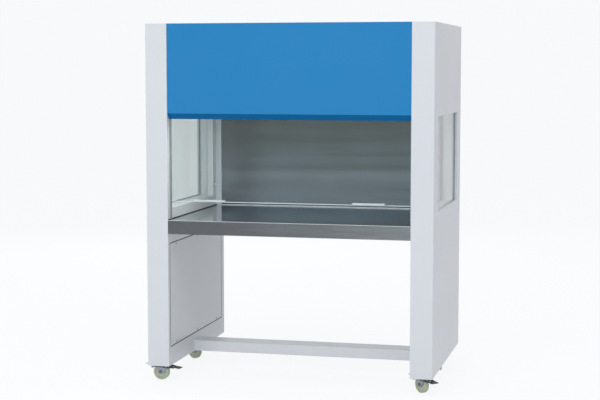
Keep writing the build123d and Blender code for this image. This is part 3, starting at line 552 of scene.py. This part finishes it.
def float_glass(name, colour, haze, pane_alpha, foot=None):
    """A clear sheet: open, mirror-like at a slant, lightly veiled, bright at a ground foot."""
    glass = new_shader(name)
    weight = glass.add("ShaderNodeLayerWeight", {}, {"Blend": 0.5})
    slant = Level(glass, weight.outputs["Facing"])
    twice = slant * slant
    wipe = glass.grain(0.10, (1.0, 1.0, 0.4), 3.0)
    open_part = glass.add("ShaderNodeBsdfTransparent", {}, {"Color": (*colour, 1.0)})
    tone = glass.tint(wipe, haze, tuple(0.9 * c for c in haze))
    dust = wipe * 0.02 + pane_alpha
    if foot:
        ground = glass.along("Z") < foot + GROUND_EDGE
        tone = glass.tint(ground, tone, (0.90, 0.98, 0.97))
        dust = dust + ground * 0.50
    veil = glass.add(
        "ShaderNodeBsdfPrincipled", {},
        {"Base Color": tone, "Roughness": 0.06, "Specular IOR Level": 0.5},
    )
    mirror = glass.add("ShaderNodeBsdfGlossy", {}, {"Roughness": 0.02})
    share = twice * twice * slant * 0.58 + 0.03
    clear = glass.add(
        "ShaderNodeMixShader", {}, {0: share, 1: open_part.outputs[0], 2: mirror.outputs[0]}
    )
    both = glass.add("ShaderNodeMixShader", {}, {0: dust, 1: clear.outputs[0], 2: veil.outputs[0]})
    return glass.finish(both.outputs[0])


front_glass = float_glass(
    "front_glass", (0.955, 0.990, 0.982), (0.62, 0.70, 0.70), 0.015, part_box("sash_glass")[0][2]
)
side_glass = float_glass("side_glass", (0.992, 0.998, 0.999), (0.80, 0.86, 0.88), 0.02)
dress(front_glass, "sash_glass")
for hand, side in HANDS:
    dress(side_glass, f"{hand}_inner_pane", f"{hand}_outer_pane")

# ---------------------------------------------------------------- sash handles
# Moulded grips with a smooth satin skin, glued to the outside of the front glass near its
# lower edge.

pale_grip = moulded("pale_grip", (0.70, 0.75, 0.77), (0.62, 0.68, 0.70), 0.35)
dress(pale_grip, "left_sash_handle", "right_sash_handle")

# ---------------------------------------------------------------- lamps and holders
# Two straight tubes in snap holders under the chamber ceiling, one lit white and one for
# disinfecting that is off. A long soft lamp just under the lit one gives its light.

TUBE_POWER = 3.6
TUBE_CLEARANCE = 0.003
tube_coat = moulded("tube_coat", (0.86, 0.88, 0.90), (0.80, 0.82, 0.84), 0.15)
lit_tube = new_shader("tube_glow")
ends = lit_tube.along("X") * lit_tube.along("X") * 3.0
tube_glow = lit_tube.surface(
    Base_Color=lit_tube.tint(ends.low(1.0), (0.86, 0.90, 0.88), (0.60, 0.62, 0.60)),
    Roughness=0.3,
    Emission_Color=(0.90, 1.0, 0.94, 1.0),
    Emission_Strength=0.80,
)
low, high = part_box("fluorescent_lamp")
under = Vector(((low[0] + high[0]) / 2, (low[1] + high[1]) / 2, low[2] - TUBE_CLEARANCE))
soft_lamp(
    "chamber_lamp", under, under - Vector((0.0, 0.0, 1.0)), high[0] - low[0], high[1] - low[1],
    TUBE_POWER,
)
holder_white = moulded("holder_white", (0.74, 0.74, 0.72), (0.68, 0.68, 0.66), 0.45)
dress(tube_glow, "fluorescent_lamp")
dress(tube_coat, "germicidal_lamp")
dress(holder_white, "lamp_holders")

# ---------------------------------------------------------------- inside metal and guides
# Angles, channels, decks and the fan: steel sheet plated bright with zinc, cloudy with
# small crystals. Moulded spacers part the window panes, and grey guides hold the front glass.


def zinc_plate(name, colour, shade, roughness=0.34):
    """Bright metal: small cloudy crystals over a rolled sheet."""
    zinc = new_shader(name)
    crystals = zinc.add(
        "ShaderNodeTexVoronoi", {"feature": "F1"}, {"Vector": zinc.place(), "Scale": 160.0}
    )
    spangle = Level(zinc, crystals.outputs["Distance"])
    cloud = zinc.grain(0.02, detail=3.0)
    return zinc.surface(
        Base_Color=zinc.tint(spangle * 0.5 + cloud * 0.5, colour, shade),
        Metallic=0.9,
        Roughness=roughness + (cloud - 0.5) * 0.18,
        Normal=zinc.bump(cloud, 0.00004, 0.4),
    )


bright_zinc = zinc_plate("bright_zinc", (0.52, 0.56, 0.60), (0.36, 0.40, 0.45))
dress(
    bright_zinc, "hood_deck", "plenum_floor", "plenum_divider", "fan_housing", "fan_impeller",
    "castor_plates", "panel_screws", "fan_shaft",
)
for hand, side in HANDS:
    dress(bright_zinc, f"{hand}_worktop_rail", f"{hand}_castor_channel")
mill_aluminium = zinc_plate("mill_aluminium", (0.70, 0.72, 0.73), (0.58, 0.60, 0.62), 0.42)
guide_grey = moulded("guide_grey", (0.36, 0.39, 0.40), (0.30, 0.33, 0.34), 0.45)
spacer_coat = moulded("spacer_coat", (0.93, 0.98, 0.99), (0.90, 0.96, 0.98), 0.35)
for hand, side in HANDS:
    dress(spacer_coat, f"{hand}_window_spacer")
    dress(guide_grey, f"{hand}_sash_guide")
dress(mill_aluminium, "hepa_frame")

# ---------------------------------------------------------------- filters, motor and gasket
# Pleated glass-fibre paper, a non-woven mat, a foam gasket and a painted motor, all behind
# the covers.

paper = moulded("filter_paper", (0.80, 0.80, 0.77), (0.70, 0.70, 0.66), 0.9)
fleece = moulded("filter_fleece", (0.66, 0.70, 0.70), (0.52, 0.56, 0.57), 0.95)
motor_paint = moulded("motor_paint", (0.050, 0.055, 0.062), (0.035, 0.040, 0.045), 0.5)
dress(paper, "hepa_media")
dress(fleece, "prefilter")
dress(motor_paint, "fan_motor")
dress(black_foam, "hepa_gasket")

# ---------------------------------------------------------------- castors
# Pressed and plated forks, cast nylon wheels gone cream, and dark lacquered rocker brake
# levers. The outer pedal of the front left one is bare plate.

PLATED_PEDAL_X = -0.6400

nylon = moulded("cream_nylon", (0.64, 0.68, 0.51), (0.54, 0.58, 0.42), 0.5)
dark_lever = powder_coat(
    "dark_lacquer", (0.035, 0.036, 0.040), (0.025, 0.026, 0.029), 0.4, scuffed=False
)
# The forks and axles are darker copies of the bright zinc: painted shade under the castor plates.
fork_zinc_painted_shade = zinc_plate("fork_zinc_painted_shade", (0.36, 0.41, 0.46), (0.22, 0.27, 0.32), 0.30)
axle_painted_shade = zinc_plate("axle_painted_shade", (0.16, 0.20, 0.24), (0.09, 0.12, 0.15), 0.30)
rocker = new_shader("two_tone_rocker")
plated = rocker.along("X") < PLATED_PEDAL_X
lustre = rocker.grain(0.004)
two_tone = rocker.surface(
    Base_Color=rocker.tint(plated, (0.035, 0.036, 0.040), (0.66, 0.69, 0.72)),
    Metallic=plated * 0.8,
    Roughness=0.42 + (lustre - 0.5) * 0.12,
    Normal=rocker.bump(lustre, 0.00004, 0.4),
)
for corner in ("front_left", "front_right", "rear_left", "rear_right"):
    dress(fork_zinc_painted_shade, f"{corner}_fork")
    dress(axle_painted_shade, f"{corner}_axle")
    dress(nylon, f"{corner}_wheel")
    dress(dark_lever, f"{corner}_brake_lever")
dress(two_tone, "front_left_brake_lever")
